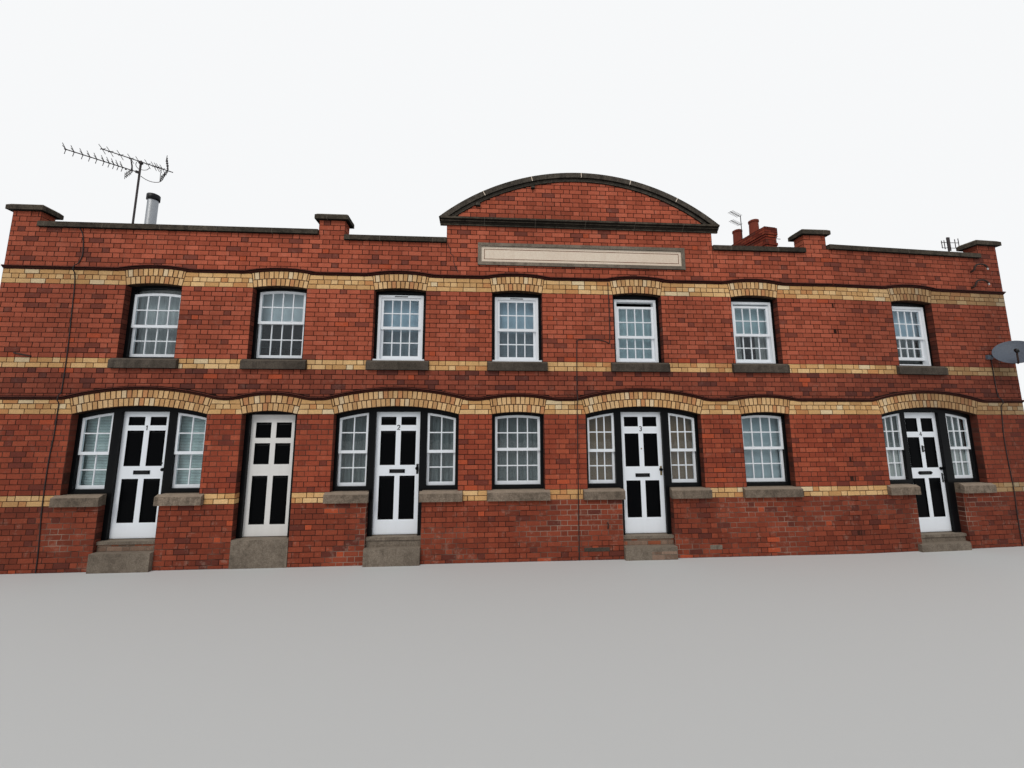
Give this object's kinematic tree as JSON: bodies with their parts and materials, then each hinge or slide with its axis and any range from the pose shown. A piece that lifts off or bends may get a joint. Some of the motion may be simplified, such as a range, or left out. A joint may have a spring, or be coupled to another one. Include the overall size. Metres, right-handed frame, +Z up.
{
  "type": "terraced house row",
  "caption": "Red brick terraced house row with yellow brick bands, wavy moulded strings, arched openings, a curved pediment and panelled doors that open.",
  "frame": {"origin": "on the floor plane, at the middle of the row's length and depth, on the underside of the ground floor", "axes": "+X along the row to the right as seen from the street, +Y from the street face into the building, +Z up"},
  "size_m": [18.4383, 8.0912, 9.025],
  "materials": {
    "red_brick": "weathered red facing brick",
    "parapet_brick": "weathered orange red brick",
    "yellow_brick": "pale yellow brick",
    "arch_brick": "yellow header bricks",
    "moulded_brick": "sooty moulded brick",
    "dark_stone": "blackened sandstone",
    "grey_stone": "worn grey stone",
    "cream_render": "cream painted render, bare",
    "black_gloss": "black gloss paint on timber",
    "white_paint": "white gloss paint",
    "window_glass": "clear window glass",
    "plain_brick": "plain red brick",
    "floor_screed": "plain solid floor",
    "floor_timber": "boarded floor",
    "slate": "grey slate",
    "stack_brick": "red brick",
    "terracotta": "terracotta",
    "flue_steel": "dull steel",
    "aerial_metal": "weathered aluminium",
    "dish_metal": "dull grey paint on pressed metal",
    "white_door": "white gloss paint",
    "black_door_paint": "black gloss paint",
    "dull_white_door": "dull white paint"
  },
  "bodies": {
    "building": {"plinth_wall": "red_brick", "ground_wall": "red_brick", "middle_wall": "red_brick", "upper_wall": "red_brick", "parapet_wall": "parapet_brick", "pediment_wall": "parapet_brick", "sill_bands": "yellow_brick", "lower_arch_band": "yellow_brick", "upper_arch_band": "yellow_brick", "lower_arches": "arch_brick", "upper_arches": "arch_brick", "lower_string": "moulded_brick", "upper_string": "moulded_brick", "parapet_copings": "dark_stone", "pier_caps": "dark_stone", "pediment_cornice": "dark_stone", "pediment_coping": "dark_stone", "plaque_frame": "grey_stone", "plaque_panel": "cream_render", "upper_sills": "dark_stone", "lower_sills": "grey_stone", "doorsteps": "grey_stone", "entrance_frames": "black_gloss", "window_boxes": "black_gloss", "upper_sashes": "white_paint", "lower_sashes": "white_paint", "upper_glass": "window_glass", "lower_glass": "window_glass", "party_walls": "plain_brick", "back_wall": "plain_brick", "back_joinery": "white_paint", "ground_floor": "floor_screed", "upper_floor": "floor_timber", "roof_slopes": "slate", "chimney_stack": "stack_brick", "chimney_pots": "terracotta", "flue_pipe": "flue_steel", "aerials": "aerial_metal", "satellite_dish": "dish_metal"},
    "front_door_1": {"door_leaf_1": "white_door", "door_fittings_1": "black_door_paint"},
    "front_door_2": {"door_leaf_2": "white_door", "door_fittings_2": "black_door_paint"},
    "front_door_3": {"door_leaf_3": "white_door", "door_fittings_3": "black_door_paint"},
    "front_door_4": {"door_leaf_4": "white_door", "door_fittings_4": "black_door_paint"},
    "passage_door": {"passage_leaf": "dull_white_door", "passage_fittings": "black_door_paint"}
  },
  "joints": [
    {"name": "front_door_1_hinge", "type": "hinge", "parent": "building", "child": "front_door_1", "pos_m": [-7.12, -3.576, 1.44], "axis": [0, 0, 1], "range_deg": [0, 95]},
    {"name": "front_door_2_hinge", "type": "hinge", "parent": "building", "child": "front_door_2", "pos_m": [-3.055, -3.576, 1.433], "axis": [0, 0, 1], "range_deg": [0, 95]},
    {"name": "front_door_3_hinge", "type": "hinge", "parent": "building", "child": "front_door_3", "pos_m": [1.17, -3.576, 1.405], "axis": [0, 0, 1], "range_deg": [0, 95]},
    {"name": "front_door_4_hinge", "type": "hinge", "parent": "building", "child": "front_door_4", "pos_m": [6.60662, -3.49609, 1.354], "axis": [0, 0, 1], "range_deg": [0, 95]},
    {"name": "passage_door_hinge", "type": "hinge", "parent": "building", "child": "passage_door", "pos_m": [-5.1025, -3.576, 1.413], "axis": [0, 0, 1], "range_deg": [0, 95]}
  ]
}
